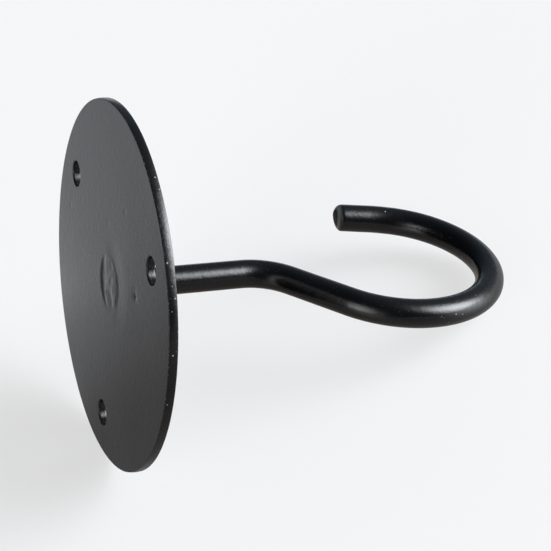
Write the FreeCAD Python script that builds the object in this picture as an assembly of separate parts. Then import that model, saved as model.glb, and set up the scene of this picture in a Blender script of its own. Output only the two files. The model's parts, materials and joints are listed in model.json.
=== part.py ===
"""Ceiling hook on a round plate: a pressed steel disc with three screw holes, and a bent round bar that is
plug-welded into the middle of the disc and painted over.

Frame, in millimetres: the origin is the centre of the mounting face, the flat back of the plate that lies
against the ceiling. +Z points out of that face, into the ceiling, so the hook hangs towards -Z. The bar lies
in the XZ plane, leans towards +X first and ends at its tip on the -X side.

Nodes: base_plate, hook_rod, plug_weld. Nothing moves, because the weld holds the bar to the plate.
"""
import FreeCAD, Part
import math
import os

# Plate
PLATE_DIAMETER = 76.2  # at the widest part of the rim
PLATE_THICKNESS = 1.8
RIM_CROWN_RADIUS = 5.0  # the rim bulges slightly, as a pressed edge does under paint
RIM_CROWN_HEIGHT = -1.1  # where the rim is widest
RIM_EDGE_RADIUS = 0.12

# Screw holes
HOLE_COUNT = 3
HOLE_CIRCLE_DIAMETER = 59.0
HOLE_DIAMETER = 5.5
HOLE_FIRST_ANGLE = 34.3  # degrees from +X, the way the bar happened to be turned when it was welded
HOLE_EDGE_RADIUS = 0.25

# Bar
ROD_DIAMETER = 6.0
SHANK_LENGTH = 29.0  # from the mounting face to where the first bend starts
NECK_RADIUS = 12.5
NECK_ANGLE = 50.0
NECK_STRAIGHT = 14.0
EYE_RADIUS = 21.5
EYE_ANGLE = 216.0
TIP_STRAIGHT = 9.3  # along the centre line, to the sheared end
TIP_OFFCUT = 4.0  # what the shear takes off
TIP_SHEAR_ANGLE = 11.0  # the shear left the +Y side of the tip longer
TIP_EDGE_RADIUS = 0.9

# Weld
WELD_DIAMETER = 11.8  # of the bevel it fills, at the mounting face
WELD_DEPTH = 1.3
WELD_GROOVE_DEPTH = 0.30  # of the groove around the crown of the weld
WELD_CROWN_DEPTH = 0.06  # the crown is dressed to just under the mounting face
WELD_LIP_SLOPE = 0.15
CENTRE_HOLE_GAP = 0.05  # radial, between the bar and the plate

CUTTER_OVERRUN = 1.0  # how far a cutter passes the face it cuts through
PARTS_FOLDER = "parts"


def point(x, z):
    """A point of the XZ plane, in which every profile here is drawn."""
    return FreeCAD.Vector(x, 0.0, z)


def lines_through(points):
    return [Part.makeLine(start, end) for start, end in zip(points, points[1:])]


def turned(edges):
    """The solid that a closed profile in the XZ plane makes when it turns once around Z."""
    face = Part.Face(Part.Wire(edges))
    return face.revolve(point(0, 0), point(0, 1), 360.0)


def plate_blank():
    """The disc, with its bulging rim and two softened edges."""
    front = -PLATE_THICKNESS
    crown_centre = PLATE_DIAMETER / 2 - RIM_CROWN_RADIUS

    def rim(height):
        rise = height - RIM_CROWN_HEIGHT
        return point(crown_centre + math.sqrt(RIM_CROWN_RADIUS**2 - rise**2), height)

    bulge = Part.Arc(rim(0), rim(RIM_CROWN_HEIGHT), rim(front)).toShape()
    flats = lines_through([rim(front), point(0, front), point(0, 0), rim(0)])
    blank = turned([bulge] + flats)
    sharp_edges = [edge for edge in blank.Edges if edge.isClosed()]
    return blank.makeFillet(RIM_EDGE_RADIUS, sharp_edges)


def hole_centres():
    for index in range(HOLE_COUNT):
        angle = math.radians(HOLE_FIRST_ANGLE + index * 360.0 / HOLE_COUNT)
        yield FreeCAD.Vector(math.cos(angle), math.sin(angle), 0) * (HOLE_CIRCLE_DIAMETER / 2)


def centre_hole():
    """What is cut away for the bar and for the weld that fills the bevel around it."""
    bore = ROD_DIAMETER / 2 + CENTRE_HOLE_GAP
    below = -PLATE_THICKNESS - CUTTER_OVERRUN
    corners = [(0, 0), (WELD_DIAMETER / 2, 0), (bore, -WELD_DEPTH), (bore, below), (0, below), (0, 0)]
    return turned(lines_through([point(*corner) for corner in corners]))


def base_plate():
    plate = plate_blank()
    length = PLATE_THICKNESS + 2 * CUTTER_OVERRUN
    for centre in hole_centres():
        start = centre + point(0, CUTTER_OVERRUN)
        drill = Part.makeCylinder(HOLE_DIAMETER / 2, length, start, point(0, -1))
        plate = plate.cut(drill)
    rings = [edge for edge in plate.Edges if edge.isClosed()]
    hole_edges = [edge for edge in rings if edge.BoundBox.XLength < 2 * HOLE_DIAMETER]
    plate = plate.makeFillet(HOLE_EDGE_RADIUS, hole_edges)
    return plate.cut(centre_hole())


class BarPath:
    """The bar's centre line, drawn in the XZ plane as straights and arcs that run on from each other."""

    def __init__(self, start_height):
        self.place = point(0, start_height)
        self.heading = 0.0  # radians from -Z towards +X
        self.edges = []

    def direction(self):
        return point(math.sin(self.heading), -math.cos(self.heading))

    def straight(self, length):
        end = self.place + self.direction() * length
        self.edges.append(Part.makeLine(self.place, end))
        self.place = end

    def bend(self, radius, degrees):
        """Positive degrees turn the bar towards +X, negative ones back towards -X."""
        turn = math.radians(degrees)
        side = math.copysign(radius, degrees)
        centre = self.place + point(math.cos(self.heading), math.sin(self.heading)) * side

        def on_arc(share):
            heading = self.heading + turn * share
            return centre - point(math.cos(heading), math.sin(heading)) * side

        self.edges.append(Part.Arc(self.place, on_arc(0.5), on_arc(1.0)).toShape())
        self.place = on_arc(1.0)
        self.heading += turn


def hook_rod():
    """The bar, swept along its centre line from the root of the weld, then sheared and rounded."""
    path = BarPath(-WELD_DEPTH)
    root = path.place
    path.straight(SHANK_LENGTH - WELD_DEPTH)
    path.bend(NECK_RADIUS, NECK_ANGLE)
    path.straight(NECK_STRAIGHT)
    path.bend(EYE_RADIUS, -EYE_ANGLE)
    path.straight(TIP_STRAIGHT + TIP_OFFCUT)
    sheared_end = path.place - path.direction() * TIP_OFFCUT
    section = Part.makeCircle(ROD_DIAMETER / 2, root, point(0, 1))
    rod = Part.Wire(path.edges).makePipeShell([Part.Wire(section)], True, False)

    shear = math.radians(TIP_SHEAR_ANGLE)
    end_normal = path.direction() * math.cos(shear) - FreeCAD.Vector(0, math.sin(shear), 0)
    offcut = Part.makeCylinder(ROD_DIAMETER, 2 * TIP_OFFCUT, sheared_end, end_normal)
    rod = rod.cut(offcut)
    tip_edge = min(rod.Edges, key=lambda edge: edge.CenterOfMass.distanceToPoint(sheared_end))
    return rod.makeFillet(TIP_EDGE_RADIUS, [tip_edge])


def plug_weld():
    """The weld metal in the bevel: a low crown with a shallow groove around it, no higher than the face."""
    bore = ROD_DIAMETER / 2 + CENTRE_HOLE_GAP
    crown = point(0, -WELD_CROWN_DEPTH)
    groove = point(bore, -WELD_GROOVE_DEPTH)
    lip = point(WELD_DIAMETER / 2, 0)
    surface = Part.BSplineCurve()
    surface.interpolate(
        [crown, groove, lip],
        InitialTangent=point(1, 0),
        FinalTangent=point(1, WELD_LIP_SLOPE),
    )
    buried = lines_through([lip, point(bore, -WELD_DEPTH), point(0, -WELD_DEPTH), crown])
    return turned([surface.toShape()] + buried)


def main():
    os.makedirs(PARTS_FOLDER, exist_ok=True)
    for build in (base_plate, hook_rod, plug_weld):
        shape = build()
        if not shape.isValid():
            raise ValueError(build.__name__ + " is not a valid solid")
        shape.exportStep(PARTS_FOLDER + "/" + build.__name__ + ".step")


main()
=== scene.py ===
"""Looks of a black painted ceiling hook: a bent bar welded into a round plate, lying on a white sheet.

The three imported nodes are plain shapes. The plate, the weld and the bar are built again here on the same
sizes, with what a plain design leaves out: the puddled weld, the plate's small pits, the rolled edges, the
sheared tip and the bead of paint around the root of the bar.

Shapes are worked out in millimetres, in the row frame: the plate's back face is z = 0, and the hook hangs
towards -Z. Blender's own objects are in metres.
"""
import json
import math

import bmesh
import bpy
from mathutils import Matrix, Vector, geometry, noise


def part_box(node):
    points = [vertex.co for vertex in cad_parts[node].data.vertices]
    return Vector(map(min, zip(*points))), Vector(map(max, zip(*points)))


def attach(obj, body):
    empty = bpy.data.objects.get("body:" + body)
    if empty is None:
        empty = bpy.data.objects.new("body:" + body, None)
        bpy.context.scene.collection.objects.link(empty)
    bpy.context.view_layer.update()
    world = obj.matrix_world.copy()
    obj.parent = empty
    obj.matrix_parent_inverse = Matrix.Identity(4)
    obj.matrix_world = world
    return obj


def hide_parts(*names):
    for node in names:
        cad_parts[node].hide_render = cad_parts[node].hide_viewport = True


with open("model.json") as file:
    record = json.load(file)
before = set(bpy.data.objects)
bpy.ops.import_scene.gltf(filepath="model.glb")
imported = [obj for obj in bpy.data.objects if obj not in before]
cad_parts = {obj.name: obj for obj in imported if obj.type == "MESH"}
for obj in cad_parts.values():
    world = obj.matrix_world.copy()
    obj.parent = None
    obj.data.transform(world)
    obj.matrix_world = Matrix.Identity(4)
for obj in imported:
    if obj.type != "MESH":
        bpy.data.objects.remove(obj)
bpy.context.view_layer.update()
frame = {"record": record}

MM = 0.001
TURN = 2 * math.pi

# Sizes that the frame gives, in millimetres
plate_low, plate_high = (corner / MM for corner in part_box("base_plate"))
rod_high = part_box("hook_rod")[1] / MM
weld_low, weld_high = (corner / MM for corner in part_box("plug_weld"))
mounts = {mount["name"]: mount for mount in frame["record"]["mounts"]}
PLATE_RADIUS = plate_high.x
PLATE_THICKNESS = -plate_low.z
HOLE_COUNT = mounts["screw_holes"]["dims"]["count"]
HOLE_RADIUS = mounts["screw_holes"]["dims"]["hole_r_mm"]
HOLE_CIRCLE_RADIUS = mounts["screw_holes"]["dims"]["pcd_mm"] / 2
ROD_RADIUS = rod_high.y
WELD_RADIUS = weld_high.x
WELD_ROOT = weld_low.z
EYE_X = mounts["hook_seat"]["pos_m"][0] / MM
EYE_BOTTOM = mounts["hook_seat"]["pos_m"][2] / MM - ROD_RADIUS
EYE_RADIUS = rod_high.x - EYE_X - ROD_RADIUS
EYE_Z = EYE_BOTTOM + EYE_RADIUS

# Plate
ORIGIN = Vector((0, 0))
HOLE_FIRST_ANGLE = math.radians(34.3)
HOLE_ROLL = 0.28  # radius of the rolled edge of a screw hole
BORE_RADIUS = ROD_RADIUS + 0.05  # of the centre hole, which leaves a small gap around the bar
RIM_CROWN_RADIUS = 5.0
RIM_CROWN_HEIGHT = -1.1
RIM_ROLL = 0.12
PLATE_WAVE = 0.03  # height of the slow waves that the press left in the plate
PLATE_WAVE_LENGTH = 16.0
PITS = (  # x, y, radius and depth
    (16.74, 6.80, 0.72, 0.17),
    (7.0, 20.3, 0.45, 0.04),
    (-2.95, 13.1, 0.5, 0.04),
    (-29.2, 4.0, 0.4, 0.04),
)
EDGE_WEAR_WIDTH = 0.35

# Weld
FLOW = Vector((0.86, 0.51))  # the way the metal flowed
WELD_CENTRE = Vector((0.45, 0.9))
WELD_INNER = 4.8  # radius where the edge of the puddle starts, and where it ends
WELD_OUTER = 6.4
WELD_LOW = -0.27  # level of the puddle where the metal flowed from, and where it flowed to
WELD_HIGH = 0.0
WELD_TOP = 0.03  # what stood higher has been dressed down to this
WELD_TOP_SOFTNESS = 0.03
WELD_RIPPLE = 0.05
WELD_RIPPLE_LENGTH = 1.5
WELD_RIPPLE_SLICE = 4.0  # height in the noise at which the ripples are read off
WELD_DISH = 0.13  # how far the heat has pulled the plate in, on the side that the metal flowed to
WELD_DISH_START = 5.4  # radius where the dish starts to fade, and where it ends
WELD_DISH_REACH = 12.5
WELD_DISH_SIDE = (-0.1, 0.9)  # the dish fades in as the cosine to the flow goes from one to the other
WELD_RIDGES = (  # start, bend and end of the crest, and its height
    (Vector((-2.1, 5.0)), Vector((-3.8, 1.9)), Vector((3.2, 1.5)), 0.23),
    (Vector((-0.8, -0.2)), Vector((-1.9, -2.8)), Vector((0.9, -4.3)), 0.21),
    (Vector((3.4, 0.9)), Vector((3.3, 0.0)), Vector((4.0, -0.8)), 0.09),
)
RIDGE_STEEP = 1.25  # width of a ridge on the side that the metal flowed from, and on the other side
RIDGE_GENTLE = 1.9

# Bar
NECK_ANGLE = 50.0
NECK_RADIUS = 12.5
EYE_ANGLE = 220.2
TIP_STRAIGHT = 7.45
TIP_LIFT = 0.041  # slope of the tip out of the bar's plane, towards +Y
TIP_LIFT_LENGTH = 12.0
TIP_SHEAR_ANGLE = math.radians(12.0)
TIP_LONG_SIDE = math.radians(76)  # the way around the bar, from the inner side of the eye towards +Y
TIP_ROLL = 1.5  # radius of the edge that the shear rolled over, which is larger on the long side
TIP_ROLL_CHANGE = 0.75
TIP_RING = 2.35  # radius of the ring where the rolled edge meets the sheared end, which gets a painted highlight
TIP_RING_WIDTH = 0.36
TIP_BARE = TIP_RING - 0.45  # radius inside which the sheared end is bare, and where the paint starts
TIP_PAINTED = TIP_RING - 0.1
TIP_DOME = 0.22  # height of the sheared end's bulge
TIP_DOME_DEPTH = 0.3
TIP_MARK_DEPTH = 1.2  # how far behind the sheared end its marks can reach
TIP_REACH = 2.6  # how much of the bar's end the shear has shaped
PAINT_BEAD = 0.45  # radius of the hollow bead of paint where the bar leaves the plate
BEAD_SUNK = 0.03  # how far the bead reaches into the plate, so that no gap shows
PAINT_GAIN = 0.035  # how much thicker the bar is over the eye, where the paint drained to, as a share
PAINT_GAIN_START = 25.0  # distance along the bar where it starts, and where it is full
PAINT_GAIN_END = 110.0
BAR_RIPPLE = 0.004  # unevenness of the bar, as a share of its radius
BAR_RIPPLE_RATE = 0.13  # how often it changes in a millimetre along the bar
BAR_RIPPLE_SPREAD = 0.8  # how much it changes around the bar
BAR_RIPPLE_SLICE = 7.0  # height in the noise at which it is read off
SCUFF = Vector((25.8, -0.4, -65.8))  # where the eye was handled

# Meshes
RIM_POINTS = 288
HOLE_POINTS = 64
BORE_POINTS = 128
BAR_POINTS = 72
TIP_STEPS = (4, 14, 6)  # on the last of the skin, the rolled edge and the sheared end
CURVE_STEPS = 40
SHARP_ANGLE = math.radians(40)  # an edge that turns more than this is shaded as a sharp one
GRID_SPACING = 1.1
GRID_MARGIN = 0.8  # free of grid points, around every ring
RIM_RINGS = (0.12, 0.4)  # extra rings of points, counted from an edge
OPENING_RINGS = (0.1, 0.35)
WELD_RINGS = (0.22, 0.45, 0.7, 1.0, 1.3, 1.6, 2.0, 2.5, 3.1)
PIT_RINGS = (0.01, 0.35, 0.7, 1.1, 1.6)  # as shares of the pit's radius
PIT_POINTS = 12
MIDDLE_RADIUS = 0.02  # of the smallest ring, which a fan of triangles closes

# Camera
CAMERA_PLACE = Vector((260.65, 152.71, 87.23)) * MM
CAMERA_TARGET = Vector((13.70, 6.98, -30.60)) * MM
CAMERA_UP = Vector((-0.4769, 0.8751, -0.0830))
CAMERA_LENS = 100.338
SENSOR_WIDTH = 36.0

# The white sheet. The plate's rim touches it, and the eye's lowest side is a little above it.
SHEET_NORMAL = Vector((0.0, 0.929, 0.370)).normalized()
SHEET_FOOT = SHEET_NORMAL * -36.0 * MM
SHEET_SIZE = 4.0


# ---------------------------------------------------------------- routes


class Route:
    """Straights and arcs that run on from each other in a plane, read off by distance."""

    def __init__(self, start, heading):
        self.place = Vector(start)
        self.heading = math.radians(heading)
        self.pieces = []
        self.length = 0.0

    def corner(self, degrees):
        self.heading += math.radians(degrees)

    def straight(self, length):
        self.run(length, 0.0)

    def bend(self, radius, degrees):
        """Positive degrees turn to the left of the way ahead."""
        turn = math.radians(degrees)
        self.run(radius * abs(turn), turn)

    def run(self, length, turn):
        piece = (self.length, self.place, self.heading, length, turn)
        self.pieces.append(piece)
        self.length += length
        self.place, self.heading = self.along(piece, length)

    def along(self, piece, ahead):
        start, place, heading, length, turn = piece
        if turn == 0:
            return place + Vector((math.cos(heading), math.sin(heading))) * ahead, heading
        radius = length / turn
        new = heading + ahead / radius
        shift = Vector((math.sin(new) - math.sin(heading), math.cos(heading) - math.cos(new)))
        return place + shift * radius, new

    def at(self, distance):
        """The place and the heading at a distance from the start. It runs straight on past the end."""
        started = [piece for piece in self.pieces if piece[0] <= distance]
        piece = started[-1]
        past = max(distance - self.length, 0.0)
        place, heading = self.along(piece, distance - piece[0] - past)
        return place + Vector((math.cos(heading), math.sin(heading))) * past, heading

    def spread(self, steps):
        """Places all the way along, with the given number of steps on each straight or arc."""
        places = [self.pieces[0][1]]
        for piece, count in zip(self.pieces, steps):
            places += [self.along(piece, piece[3] * step / count)[0] for step in range(1, count + 1)]
        return places

    def marks(self, longest, sharpest):
        """Places all the way along, no further apart than longest, or than sharpest degrees in an arc."""
        places = [self.pieces[0][1]]
        for piece in self.pieces:
            length, turn = piece[3:]
            steps = max(math.ceil(length / longest), math.ceil(abs(math.degrees(turn)) / sharpest), 1)
            places += [self.along(piece, length * step / steps)[0] for step in range(1, steps + 1)]
        return places


# ---------------------------------------------------------------- meshes


def link(name, data):
    thing = bpy.data.objects.new(name, data)
    bpy.context.scene.collection.objects.link(thing)
    return thing


def smooth_step(low, high, value):
    share = min(max((value - low) / (high - low), 0.0), 1.0)
    return share * share * (3 - 2 * share)


def hump(distance, width):
    return math.exp(-((distance / width) ** 2))


def circle(centre, radius, height, count):
    middle = Vector((centre.x, centre.y, height))
    angles = [TURN * index / count for index in range(count)]
    return [middle + Vector((radius * math.cos(angle), radius * math.sin(angle), 0)) for angle in angles]


class Shape:
    """Places and faces of a mesh while it is put together, in millimetres."""

    def __init__(self):
        self.places = []
        self.faces = []

    def add(self, places):
        first = len(self.places)
        self.places += places
        return list(range(first, first + len(places)))

    def join(self, lower, upper):
        """Quads between two closed loops of the same count."""
        count = len(lower)
        for index in range(count):
            after = (index + 1) % count
            self.faces.append((lower[index], lower[after], upper[after], upper[index]))

    def join_all(self, loops):
        for lower, upper in zip(loops, loops[1:]):
            self.join(lower, upper)

    def close(self, loop):
        """Triangles from a loop to a place in its middle."""
        middle = sum((self.places[index] for index in loop), Vector()) / len(loop)
        tip = self.add([middle])[0]
        for index in range(len(loop)):
            self.faces.append((loop[index], loop[(index + 1) % len(loop)], tip))

    def piece(self, name, node, **marks):
        """The finished piece, which stands for a node. Each mark is a function of a place, from 0 to 1."""
        mesh = bpy.data.meshes.new(name)
        build = bmesh.new()
        corners = [build.verts.new(place * MM) for place in self.places]
        for face in self.faces:
            build.faces.new([corners[index] for index in face])
        bmesh.ops.remove_doubles(build, verts=build.verts, dist=1e-7)
        bmesh.ops.recalc_face_normals(build, faces=build.faces)
        build.to_mesh(mesh)
        build.free()
        mesh.shade_smooth()
        mesh.set_sharp_from_angle(angle=SHARP_ANGLE)
        for mark, value_at in marks.items():
            values = [value_at(vertex.co / MM) for vertex in mesh.vertices]
            mesh.attributes.new(mark, "FLOAT", "POINT").data.foreach_set("value", values)
        piece = link(name, mesh)
        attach(piece, "root")
        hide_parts(node)
        return piece


# ---------------------------------------------------------------- plate and weld


def curve_places(start, bend, end):
    """Places along a curve that leaves start towards bend and reaches end from it."""
    places = []
    for index in range(CURVE_STEPS + 1):
        share = index / CURVE_STEPS
        places.append(start * (1 - share) ** 2 + bend * (2 * share * (1 - share)) + end * share**2)
    return places


ridge_lines = [(curve_places(start, bend, end), rise) for start, bend, end, rise in WELD_RIDGES]


def weld_relief(x, y):
    """The frozen puddle, which is sunk where the metal flowed from and drops off where it flowed to."""
    place = Vector((x, y))
    apart = place - WELD_CENTRE
    if apart.length > WELD_DISH_REACH:
        return 0.0
    ahead = apart.dot(FLOW)
    inside = 1 - smooth_step(WELD_INNER, WELD_OUTER, apart.length)
    height = WELD_LOW + (WELD_HIGH - WELD_LOW) * smooth_step(-WELD_INNER, WELD_INNER, ahead)
    for places, rise in ridge_lines:
        gap = min((place - spot for spot in places), key=lambda step: step.length)
        height += rise * hump(gap.length, RIDGE_STEEP if gap.dot(FLOW) < 0 else RIDGE_GENTLE)
    dressed = math.log(1 + math.exp((WELD_TOP - height) / WELD_TOP_SOFTNESS)) * WELD_TOP_SOFTNESS
    height = WELD_TOP - dressed
    height += WELD_RIPPLE * noise.noise(Vector((x, y, WELD_RIPPLE_SLICE)) / WELD_RIPPLE_LENGTH)
    facing = ahead / max(apart.length, 1.0)
    dish = WELD_DISH * smooth_step(*WELD_DISH_SIDE, facing)
    dish *= 1 - smooth_step(WELD_DISH_START, WELD_DISH_REACH, apart.length)
    return inside * height - (1 - inside) * dish


def face_relief(x, y):
    """How far the back face stands above its plane: slow waves, pits and the weld."""
    height = PLATE_WAVE * noise.noise(Vector((x, y, 0)) / PLATE_WAVE_LENGTH)
    for pit_x, pit_y, width, depth in PITS:
        height -= depth * hump(math.hypot(x - pit_x, y - pit_y), width)
    return height + weld_relief(x, y)


def hole_centres():
    for index in range(HOLE_COUNT):
        angle = HOLE_FIRST_ANGLE + TURN * index / HOLE_COUNT
        yield Vector((math.cos(angle), math.sin(angle))) * HOLE_CIRCLE_RADIUS


def rim_angle(height):
    """How far the rim's crown leans, in radians, where it meets the rolled edge of a face."""
    return math.asin((abs(height - RIM_CROWN_HEIGHT) - RIM_ROLL) / (RIM_CROWN_RADIUS - RIM_ROLL))


def face_radius(height):
    """Radius of the flat of a face, inside the rolled edge."""
    reach = (RIM_CROWN_RADIUS - RIM_ROLL) * math.cos(rim_angle(height))
    return PLATE_RADIUS - RIM_CROWN_RADIUS + reach


def rim_outline():
    """From the back face round to the front face, as (radius, height)."""
    top, bottom = (math.degrees(rim_angle(height)) for height in (0.0, -PLATE_THICKNESS))
    outline = Route((face_radius(0.0), 0.0), 0.0)
    outline.bend(RIM_ROLL, top - 90)
    outline.bend(RIM_CROWN_RADIUS, -top - bottom)
    outline.bend(RIM_ROLL, bottom - 90)
    return outline


def hole_outline():
    outline = Route((HOLE_RADIUS + HOLE_ROLL, 0.0), 180.0)
    outline.bend(HOLE_ROLL, 90)
    outline.straight(PLATE_THICKNESS - 2 * HOLE_ROLL)
    outline.bend(HOLE_ROLL, 90)
    return outline


def bevel_outline():
    outline = Route((WELD_RADIUS, 0.0), 180 + math.degrees(math.atan2(-WELD_ROOT, WELD_RADIUS - BORE_RADIUS)))
    outline.straight(math.hypot(WELD_ROOT, WELD_RADIUS - BORE_RADIUS))
    outline.corner(270 - math.degrees(outline.heading))
    outline.straight(PLATE_THICKNESS + WELD_ROOT)
    return outline


def plate_face(shape, height, centre_radius, extra):
    """A flat face between the rim, the screw holes and the opening in the middle, as even triangles."""
    rim = face_radius(height)
    openings = [(centre, HOLE_RADIUS + HOLE_ROLL, HOLE_POINTS) for centre in hole_centres()]
    openings.append((ORIGIN, centre_radius, BORE_POINTS))
    places, edges = [], []

    def add_ring(centre, radius, count, is_edge):
        first = len(places)
        places.extend(spot.to_2d() for spot in circle(centre, radius, 0.0, count))
        if is_edge:
            edges.extend((first + index, first + (index + 1) % count) for index in range(count))

    add_ring(ORIGIN, rim, RIM_POINTS, True)
    for step in RIM_RINGS:
        add_ring(ORIGIN, rim - step, RIM_POINTS, False)
    for centre, radius, count in openings:
        add_ring(centre, radius, count, True)
        for step in OPENING_RINGS:
            add_ring(centre, radius + step, count, False)
    for centre, radius, count in extra:
        add_ring(centre, radius, count, False)
    blocked = openings + extra
    row_height = math.sqrt(0.75)  # of rows of even triangles
    rows = math.ceil(rim / GRID_SPACING / row_height)
    for row in range(-rows, rows + 1):
        for column in range(-rows, rows + 1):
            spot = Vector((column + row % 2 / 2, row * row_height)) * GRID_SPACING
            if rim - spot.length < GRID_MARGIN:
                continue
            if all((spot - centre).length > radius + GRID_MARGIN for centre, radius, count in blocked):
                places.append(spot)
    corners, made_edges, triangles = geometry.delaunay_2d_cdt(places, edges, [], 0, 1e-6)[:3]
    first = shape.add([Vector((corner.x, corner.y, height)) for corner in corners])[0]
    for triangle in triangles:
        middle = sum((corners[index] for index in triangle), Vector((0, 0))) / len(triangle)
        if middle.length < rim and all((middle - c).length > radius for c, radius, count in openings):
            shape.faces.append(tuple(first + index for index in triangle))


def wall(shape, centre, outline, count, longest=0.4, sharpest=15):
    marks = outline.marks(longest, sharpest)
    shape.join_all([shape.add(circle(centre, mark.x, mark.y, count)) for mark in marks])


def sink(shape):
    """Lowers or lifts each place by the relief of the back face, and not at all at the front face."""
    for place in shape.places:
        place.z += face_relief(place.x, place.y) * (1 + place.z / PLATE_THICKNESS)


def plate_wear(place):
    """1 on the plate's edges, where the paint is thin, falling to 0 a little way off."""
    edges = []
    for height in (0.0, -PLATE_THICKNESS):
        edges.append((ORIGIN, face_radius(height) + RIM_ROLL / 2, height))
        edges += [(centre, HOLE_RADIUS + HOLE_ROLL / 3, height) for centre in hole_centres()]
    gaps = [math.hypot((place.to_2d() - c).length - radius, place.z - height) for c, radius, height in edges]
    return hump(min(gaps), EDGE_WEAR_WIDTH)


def make_plate():
    shape = Shape()
    weld_rings = [(ORIGIN, WELD_RADIUS + step, BORE_POINTS) for step in WELD_RINGS]
    pit_rings = []
    for pit_x, pit_y, width, depth in PITS:
        pit_rings += [(Vector((pit_x, pit_y)), width * share, PIT_POINTS) for share in PIT_RINGS]
    plate_face(shape, 0.0, WELD_RADIUS, weld_rings + pit_rings)
    plate_face(shape, -PLATE_THICKNESS, BORE_RADIUS, [])
    wall(shape, ORIGIN, rim_outline(), RIM_POINTS)
    wall(shape, ORIGIN, bevel_outline(), BORE_POINTS)
    for centre in hole_centres():
        wall(shape, centre, hole_outline(), HOLE_POINTS)
    sink(shape)
    return shape.piece("plate_disc", "base_plate", wear=plate_wear)


def make_weld():
    shape = Shape()
    top = Route((MIDDLE_RADIUS, 0.0), 0.0)
    top.straight(WELD_RADIUS - MIDDLE_RADIUS)
    marks = top.marks(longest=0.16, sharpest=90)
    loops = [shape.add(circle(ORIGIN, mark.x, mark.y, BORE_POINTS)) for mark in marks]
    loops.append(shape.add(circle(ORIGIN, BORE_RADIUS, WELD_ROOT, BORE_POINTS)))
    shape.join_all(loops)
    shape.close(loops[0])
    shape.close(loops[-1])
    sink(shape)
    return shape.piece("weld_puddle", "plug_weld")


# ---------------------------------------------------------------- bar


def bar_route():
    """The centre line. Its plane counts first towards -Z and then towards +X."""
    neck = math.radians(NECK_ANGLE)
    eye_start = Vector((-EYE_Z - EYE_RADIUS * math.sin(neck), EYE_X + EYE_RADIUS * math.cos(neck)))
    slope_length = eye_start.y / math.sin(neck)
    corner_depth = eye_start.x - slope_length * math.cos(neck)
    corner_cut = NECK_RADIUS * math.tan(neck / 2)
    route = Route((-WELD_ROOT, 0.0), 0.0)
    route.straight(corner_depth + WELD_ROOT - corner_cut)
    route.bend(NECK_RADIUS, NECK_ANGLE)
    route.straight(slope_length - corner_cut)
    route.bend(EYE_RADIUS, -EYE_ANGLE)
    route.straight(TIP_STRAIGHT)
    return route


def skin_outline(length):
    """The bar's outline as (distance along the centre line, radius): buried root, bead of paint, skin."""
    buried = PLATE_THICKNESS + WELD_ROOT - BEAD_SUNK
    outline = Route((0.0, ROD_RADIUS), 0.0)
    outline.straight(buried)
    outline.corner(90)
    outline.straight(PAINT_BEAD)
    outline.corner(-180)
    outline.bend(PAINT_BEAD, 90)
    outline.straight(length - buried - PAINT_BEAD - TIP_REACH)
    return outline.marks(longest=0.5, sharpest=10)


def tip_outline(length, angle):
    """How the outline goes on over the rolled edge and across the sheared end, at an angle around the bar."""
    roll = TIP_ROLL + TIP_ROLL_CHANGE * math.cos(angle - TIP_LONG_SIDE)
    outline = Route((length - TIP_REACH, ROD_RADIUS), 0.0)
    outline.straight(TIP_REACH - roll)
    outline.bend(roll, -90)
    outline.straight(ROD_RADIUS - roll - MIDDLE_RADIUS)
    return outline.spread(TIP_STEPS)[1:]


def make_bar():
    route = bar_route()
    skin = skin_outline(route.length)
    outlines = []
    for index in range(BAR_POINTS):
        angle = TURN * index / BAR_POINTS
        outlines.append((angle, skin + tip_outline(route.length, angle)))

    def place_on_bar(angle, distance, radius):
        across, up = math.cos(angle), math.sin(angle)
        place, heading = route.at(distance)
        ahead = Vector((math.sin(heading), 0, -math.cos(heading)))
        ring = Vector((math.cos(heading) * across, up, math.sin(heading) * across))
        around = Vector((0, across * BAR_RIPPLE_SPREAD, up * BAR_RIPPLE_SPREAD + BAR_RIPPLE_SLICE))
        ripple = 1 + BAR_RIPPLE * noise.noise(around + Vector((distance * BAR_RIPPLE_RATE, 0, 0)))
        ripple += PAINT_GAIN * smooth_step(PAINT_GAIN_START, PAINT_GAIN_END, distance)
        lean = math.tan(TIP_SHEAR_ANGLE) * math.cos(angle - TIP_LONG_SIDE)
        lean *= smooth_step(route.length - 2 * TIP_REACH, route.length - TIP_REACH / 2, distance)
        past = max(distance - route.length + TIP_LIFT_LENGTH, 0.0)
        centre = Vector((place.y, TIP_LIFT * past**2 / (past + TIP_LIFT_LENGTH / 4), -place.x))
        bulge = TIP_DOME * (1 - (radius / ROD_RADIUS) ** 2)
        bulge *= smooth_step(route.length - TIP_DOME_DEPTH, route.length, distance)
        return centre + ring * (radius * ripple) + ahead * (lean * radius + bulge)

    shape = Shape()
    loops = []
    for level in range(len(outlines[0][1])):
        loops.append(shape.add([place_on_bar(angle, *outline[level]) for angle, outline in outlines]))
    shape.join_all(loops)
    shape.close(loops[0])
    shape.close(loops[-1])
    end = sum((shape.places[index] for index in loops[-1]), Vector()) / BAR_POINTS
    ahead = Vector((math.sin(route.heading), TIP_LIFT, -math.cos(route.heading))).normalized()

    def off_axis(place):
        """Distance from the centre line near the sheared end, and a large number anywhere else."""
        apart = place - end
        depth = apart.dot(ahead)
        return (apart - ahead * depth).length if depth > -TIP_MARK_DEPTH else 2 * ROD_RADIUS

    # Painted highlight: 1 on the ring around the sheared end, where a light grey colour stands in for the
    # rolled edge's reflection of the lamps
    def ring_wear(place):
        return hump(off_axis(place) - TIP_RING, TIP_RING_WIDTH)

    def sheared(place):
        return 1 - smooth_step(TIP_BARE, TIP_PAINTED, off_axis(place))

    return shape.piece("hook_bar", "hook_rod", wear=ring_wear, sheared=sheared)


# ---------------------------------------------------------------- camera and studio


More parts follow.
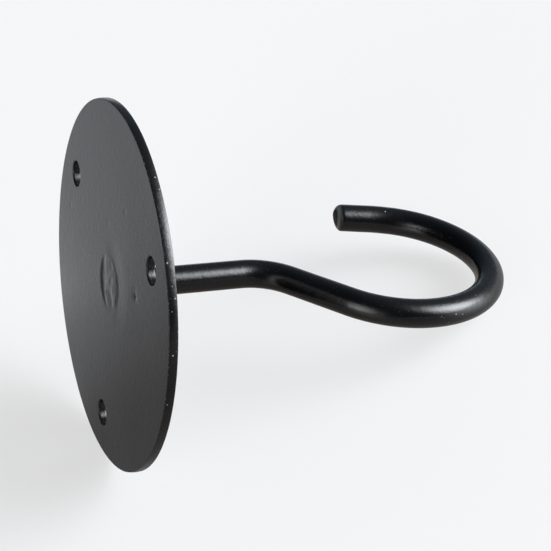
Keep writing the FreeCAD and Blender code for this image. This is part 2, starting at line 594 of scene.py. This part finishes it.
def look_matrix(place, target, up):
    """A world matrix at place whose -Z looks at target, with up as close to +Y as it can be."""
    back = (place - target).normalized()
    right = up.cross(back).normalized()
    rotation = Matrix((right, back.cross(right), back)).transposed()
    return Matrix.Translation(place) @ rotation.to_4x4()


camera_matrix = look_matrix(CAMERA_PLACE, CAMERA_TARGET, CAMERA_UP)
camera_right, camera_up, camera_back = (Vector(column) for column in camera_matrix.to_3x3().transposed())


def make_camera():
    data = bpy.data.cameras.new("camera")
    data.sensor_width = SENSOR_WIDTH
    data.lens = CAMERA_LENS
    data.clip_start = 0.01
    camera = link("camera", data)
    camera.matrix_world = camera_matrix
    bpy.context.scene.camera = camera


def seen_direction(right_degrees, up_degrees):
    """A direction counted from the way back to the camera: so far to its right, and so far above it."""
    across, rise = math.radians(right_degrees), math.radians(up_degrees)
    level = camera_right * math.sin(across) + camera_back * math.cos(across)
    return level * math.cos(rise) + camera_up * math.sin(rise)


class Graph:
    """Short ways to add shader nodes. Each one gives the output that the next one takes."""

    def __init__(self, tree):
        self.tree = tree
        tree.nodes.clear()

    def add(self, kind, inputs=(), **settings):
        """A node with its inputs filled in by name, each with a value or with the output of another node."""
        node = self.tree.nodes.new("ShaderNode" + kind)
        for setting, value in settings.items():
            setattr(node, setting, value)
        for name, value in dict(inputs).items():
            self.feed(node.inputs[name], value)
        return node

    def feed(self, socket, value):
        if isinstance(value, bpy.types.NodeSocket):
            self.tree.links.new(value, socket)
        else:
            socket.default_value = value

    def math(self, operation, *values):
        return self.add("Math", enumerate(values), operation=operation).outputs[0]

    def dot(self, first, second):
        return self.add("VectorMath", {0: first, 1: second}, operation="DOT_PRODUCT").outputs["Value"]

    def length(self, vector):
        return self.add("VectorMath", {0: vector}, operation="LENGTH").outputs["Value"]

    def shift(self, first, second):
        return self.add("VectorMath", {0: first, 1: second}, operation="ADD").outputs["Vector"]

    def scale(self, vector, factor):
        return self.add("VectorMath", {0: vector, "Scale": factor}, operation="SCALE").outputs["Vector"]

    def ramp(self, value, low, high, start=0.0, end=1.0):
        """start up to low, end from high on, and a smooth rise between them."""
        inputs = {"Value": value, "From Min": low, "From Max": high, "To Min": start, "To Max": end}
        return self.add("MapRange", inputs, interpolation_type="SMOOTHSTEP").outputs["Result"]

    def noise(self, place, size, detail):
        """Noise from 0 to 1, with patches of about this size."""
        inputs = {"Vector": place, "Scale": 1 / size, "Detail": detail}
        return self.add("TexNoise", inputs).outputs[0]

    def blend(self, share, first, second):
        mix = self.add("Mix", {0: share, 6: first, 7: second}, data_type="RGBA")
        return mix.outputs[2]

    def shade(self, share, first, second):
        return self.add("MixShader", {0: share, 1: first, 2: second}).outputs[0]

    def is_seen(self):
        """1 for what the camera sees directly, and 0 for reflections and light."""
        return self.add("LightPath").outputs["Is Camera Ray"]

    def finish(self, kind, surface):
        self.add("Output" + kind, {"Surface": surface})


class MaterialGraph(Graph):
    """The graph of a new material."""

    def __init__(self, name):
        self.material = bpy.data.materials.new(name)
        self.material.use_nodes = True
        super().__init__(self.material.node_tree)


# Soft lights of the studio: degrees to the right of the way back to the camera and above it, reach in
# degrees, hardness of the edge, radiance and tint
STUDIO_LIGHTS = {
    "key box": (64, 24, 22, 1.5, 15.8, (0.97, 1.0, 1.04)),
    "key spill": (78, 34, 28, 1.0, 1.0, (0.97, 1.0, 1.04)),
    "fill high": (-28, -2, 11, 1.0, 2.2, (1.0, 1.0, 1.0)),
    "fill low": (-35, -22, 14, 1.0, 4.6, (1.0, 1.0, 1.0)),
    "wall behind": (165, 52, 36, 1.0, 0.15, (0.75, 1.0, 1.22)),
}
ROOM_GLOW = Vector((0.022, 0.028, 0.038))
BACKDROP = (0.93, 0.93, 0.94, 1)

# The sheet as reflections see it: behind the plate, which is above its mounting face, and under the hook
UPWARD = Vector((0, 0, 1))
LIT_WAY = Vector((-1, 0, -1.5))  # the way in which the sheet behind the plate gets brighter
BEHIND_DIM = (0.205, 0.200, 0.200, 1)
BEHIND_LIT = (0.43, 0.44, 0.46, 1)
BEHIND_FAR = (0.72, 0.72, 0.72, 1)
UNDER_NEAR = (0.21, 0.175, 0.145, 1)
UNDER_FAR = (0.49, 0.50, 0.52, 1)
LIT_RANGE = (-8 * MM, 60 * MM)  # along the lit way, from dim to lit
FAR_RANGE = (38 * MM, 64 * MM)  # along the lit way, from lit to far
FAR_HEIGHT = (10 * MM, 26 * MM)  # the far light fades out above the mounting face
UNDER_RANGE = (30 * MM, 150 * MM)  # from the sheet's foot, from near to far
FACE_RANGE = (-12 * MM, 2 * MM)  # height, from under the hook to behind the plate
SHADE_RANGE = (10 * MM, 50 * MM)  # towards the camera, where the sheet gets dimmer
SHEET_SHADE = 0.6  # how much dimmer the sheet is towards the camera
SHEET_SHEEN = (0.12, 0.12, 0.12, 1)
SHEET_ROUGHNESS = 0.35

# The sheet as the camera sees it
SHEET_GLOW = 0.67
SHEET_WHITE = (0.265, 0.265, 0.265, 1)
DIM_PLACE = Vector((6.5, -27.5, -28.5)) * MM  # between plate and hook, where the sheet gets less light
DIM_REACH = 90 * MM
DIM_LOSS = 0.035


def make_world():
    """Pale where the camera sees it. Everything else sees a dark room with a few soft lights."""
    world = bpy.data.worlds.new("studio")
    bpy.context.scene.world = world
    world.use_nodes = True
    graph = Graph(world.node_tree)
    direction = graph.add("TexCoord").outputs["Generated"]
    light = ROOM_GLOW
    for right, up, reach, hardness, radiance, tint in STUDIO_LIGHTS.values():
        facing = graph.dot(direction, seen_direction(right, up))
        away = graph.math("DIVIDE", graph.math("SUBTRACT", 1.0, facing), 1 - math.cos(math.radians(reach)))
        fall = graph.math("MULTIPLY", graph.math("POWER", away, hardness), -1.0)
        light = graph.shift(light, graph.scale(Vector(tint) * radiance, graph.math("EXPONENT", fall)))
    lit = graph.add("Background", {"Color": light}).outputs[0]
    seen = graph.add("Background", {"Color": BACKDROP}).outputs[0]
    graph.finish("World", graph.shade(graph.is_seen(), lit, seen))


def sheet_bounce(graph, place):
    """The sheet's own light in reflections, which falls off where the hook and the plate stand in its way."""
    height = graph.dot(place, UPWARD)
    lit = graph.dot(place, LIT_WAY)
    away = graph.length(graph.shift(place, -SHEET_FOOT))
    behind = graph.blend(graph.ramp(lit, *LIT_RANGE), BEHIND_DIM, BEHIND_LIT)
    low_down = graph.ramp(height, *FAR_HEIGHT, 1, 0)
    far_off = graph.ramp(lit, *FAR_RANGE)
    behind = graph.blend(graph.math("MULTIPLY", low_down, far_off), behind, BEHIND_FAR)
    under = graph.blend(graph.ramp(away, *UNDER_RANGE), UNDER_NEAR, UNDER_FAR)
    colour = graph.blend(graph.ramp(height, *FACE_RANGE), under, behind)
    towards_camera = graph.dot(place, seen_direction(15, 0))
    strength = graph.ramp(towards_camera, *SHADE_RANGE, 1, 1 - SHEET_SHADE)
    return graph.add("Emission", {"Color": colour, "Strength": strength}).outputs[0]


def sheet_material():
    """Reflections see sheen and bounced light, the camera sees white, and the back is clear."""
    graph = MaterialGraph("sheet")
    geometry_node = graph.add("NewGeometry")
    place = geometry_node.outputs["Position"]
    sheen = graph.add("BsdfPrincipled", {"Base Color": SHEET_SHEEN, "Roughness": SHEET_ROUGHNESS}).outputs[0]
    mirrored = graph.add("AddShader", {0: sheen, 1: sheet_bounce(graph, place)}).outputs[0]
    dim = graph.length(graph.shift(place, -DIM_PLACE))
    strength = graph.ramp(dim, 0, DIM_REACH, SHEET_GLOW - DIM_LOSS, SHEET_GLOW)
    glow = graph.add("Emission", {"Strength": strength}).outputs[0]
    white = graph.add("BsdfDiffuse", {"Color": SHEET_WHITE}).outputs[0]
    seen = graph.add("AddShader", {0: white, 1: glow}).outputs[0]
    front = graph.shade(graph.is_seen(), mirrored, seen)
    clear = graph.add("BsdfTransparent").outputs[0]
    graph.finish("Material", graph.shade(geometry_node.outputs["Backfacing"], front, clear))
    return graph.material


def make_sheet():
    """The white sheet. From behind, it lets the pale world show through."""
    mesh = bpy.data.meshes.new("sheet")
    half = SHEET_SIZE / 2
    corners = [(-half, -half, 0), (half, -half, 0), (half, half, 0), (-half, half, 0)]
    mesh.from_pydata(corners, [], [(0, 1, 2, 3)])
    sheet = link("sheet", mesh)
    sheet.rotation_mode = "QUATERNION"
    sheet.rotation_quaternion = SHEET_NORMAL.to_track_quat("Z", "Y")
    sheet.location = SHEET_FOOT
    mesh.materials.append(sheet_material())


# ---------------------------------------------------------------- paint


# Colours of what shows on the bar and the plate
BLACK = (0.0020, 0.0021, 0.0024)
WORN_BLACK = (0.0042, 0.0042, 0.0045)
SPECKLE = (0.012, 0.012, 0.013)
DUST = (0.26, 0.25, 0.24)
THIN_PAINT = (0.012, 0.010, 0.009)
PRIMER = (0.07, 0.06, 0.052)
SHEARED_STEEL = (0.045, 0.031, 0.024)
# A painted highlight: light grey for the ring around the bar's sheared end
PAINTED_HIGHLIGHT_GREY = (0.38, 0.38, 0.37)


class Paint(MaterialGraph):
    """Satin black paint. Its patterns are laid out in millimetres."""

    def __init__(self, name, roughness):
        super().__init__(name)
        self.place = self.scale(self.add("TexCoord").outputs["Object"], 1 / MM)
        patches = self.noise(self.place, size=9.0, detail=3.0)
        grain = self.noise(self.place, size=0.4, detail=2.0)
        streaks = self.noise(self.stretched(1.0, 0.12, 1.0), size=1.2, detail=3.0)
        peel = self.noise(self.place, size=1.5, detail=1.0)
        self.colour = self.blend(patches, (*BLACK, 1), (*WORN_BLACK, 1))
        self.roughness = roughness
        for pattern, swing in ((patches, 0.08), (streaks, 0.06), (grain, 0.10)):
            change = self.math("MULTIPLY", self.math("SUBTRACT", pattern, 0.5), swing)
            self.roughness = self.math("ADD", change, self.roughness)
        self.height = 0.0
        self.raise_by(peel, 0.030)
        self.raise_by(grain, 0.026)

    def stretched(self, x, y, z):
        """Places that run faster along some axes, so that patterns on them are drawn out along the others."""
        inputs = {0: self.place, 1: Vector((x, y, z))}
        return self.add("VectorMath", inputs, operation="MULTIPLY").outputs["Vector"]

    def mark(self, name):
        return self.add("Attribute", attribute_name=name).outputs["Fac"]

    def specks(self, apart, width, share):
        """1 on small round specks that lie about this far apart. Only a share of them is there."""
        cell = self.add("TexVoronoi", {"Vector": self.place, "Scale": 1 / apart})
        inside = self.ramp(cell.outputs["Distance"], 0.25 * width / apart, 0.5 * width / apart, 1.0, 0.0)
        lot = self.add("SeparateColor", {0: cell.outputs["Color"]}).outputs[0]
        return self.math("MULTIPLY", inside, self.math("LESS_THAN", lot, share))

    def cover(self, share, colour, roughness):
        """Lays another colour and roughness over the paint."""
        self.colour = self.blend(share, self.colour, (*colour, 1))
        change = self.math("SUBTRACT", roughness, self.roughness)
        self.roughness = self.math("MULTIPLY_ADD", change, share, self.roughness)

    def raise_by(self, share, rise):
        self.height = self.math("MULTIPLY_ADD", share, rise, self.height)

    def add_dust(self, share):
        """Nibs under the paint, and dust on it where share says so."""
        self.raise_by(self.specks(apart=3.1, width=0.6, share=0.15), 0.03)
        self.cover(self.specks(apart=1.1, width=0.38, share=share), DUST, roughness=0.75)

    def finished(self):
        bump = self.add("Bump", {"Height": self.height, "Distance": MM, "Strength": 1.0}).outputs[0]
        inputs = {"Base Color": self.colour, "Roughness": self.roughness, "Normal": bump}
        self.finish("Material", self.add("BsdfPrincipled", inputs).outputs[0])
        return self.material


def bar_paint():
    """Paint with a fine speckle and a dusty scuff, the bare end that the shear left, and a painted highlight
    on the ring around that end.
    """
    paint = Paint("bar_paint", roughness=0.20)
    paint.cover(paint.specks(apart=0.5, width=0.26, share=0.18), SPECKLE, roughness=0.45)
    from_scuff = paint.length(paint.shift(paint.place, -SCUFF))
    paint.add_dust(paint.ramp(from_scuff, 1.5, 5.0, 0.65, 0.02))
    chips = paint.noise(paint.place, size=0.6, detail=4.0)
    sheared = paint.mark("sheared")
    paint.cover(sheared, SHEARED_STEEL, roughness=0.75)
    paint.raise_by(paint.math("MULTIPLY", sheared, chips), 0.05)
    # Painted highlight: light grey on the ring around the sheared end, broken up by the chips
    painted_ring_highlight = paint.math("MULTIPLY", paint.mark("wear"), paint.ramp(chips, 0.2, 0.5, 0.75, 1.0))
    paint.cover(painted_ring_highlight, PAINTED_HIGHLIGHT_GREY, roughness=0.45)
    return paint.finished()


def plate_paint():
    """Paint with dust on the rim. It is thin on the edges, and worn through to the primer in places."""
    paint = Paint("plate_paint", roughness=0.21)
    paint.cover(paint.specks(apart=0.7, width=0.30, share=0.25), SPECKLE, roughness=0.4)
    from_axis = paint.length(paint.stretched(1.0, 1.0, 0.0))
    paint.add_dust(paint.ramp(from_axis, PLATE_RADIUS - 1.0, PLATE_RADIUS - 0.2, 0.04, 0.30))
    thin = paint.mark("wear")
    chips = paint.noise(paint.place, size=0.5, detail=4.0)
    paint.cover(paint.math("MULTIPLY", thin, 0.35), THIN_PAINT, roughness=0.32)
    paint.cover(paint.ramp(paint.math("MULTIPLY", thin, chips), 0.46, 0.66), PRIMER, roughness=0.5)
    return paint.finished()


def weld_paint():
    """Paint over the rougher metal of the puddle."""
    paint = Paint("weld_paint", roughness=0.24)
    paint.add_dust(0.05)
    paint.raise_by(paint.noise(paint.place, size=0.9, detail=3.0), 0.03)
    return paint.finished()


make_camera()
make_world()
make_sheet()
for make_piece, make_paint in ((make_bar, bar_paint), (make_plate, plate_paint), (make_weld, weld_paint)):
    make_piece().data.materials.append(make_paint())

bpy.context.scene.view_settings.view_transform = "Standard"
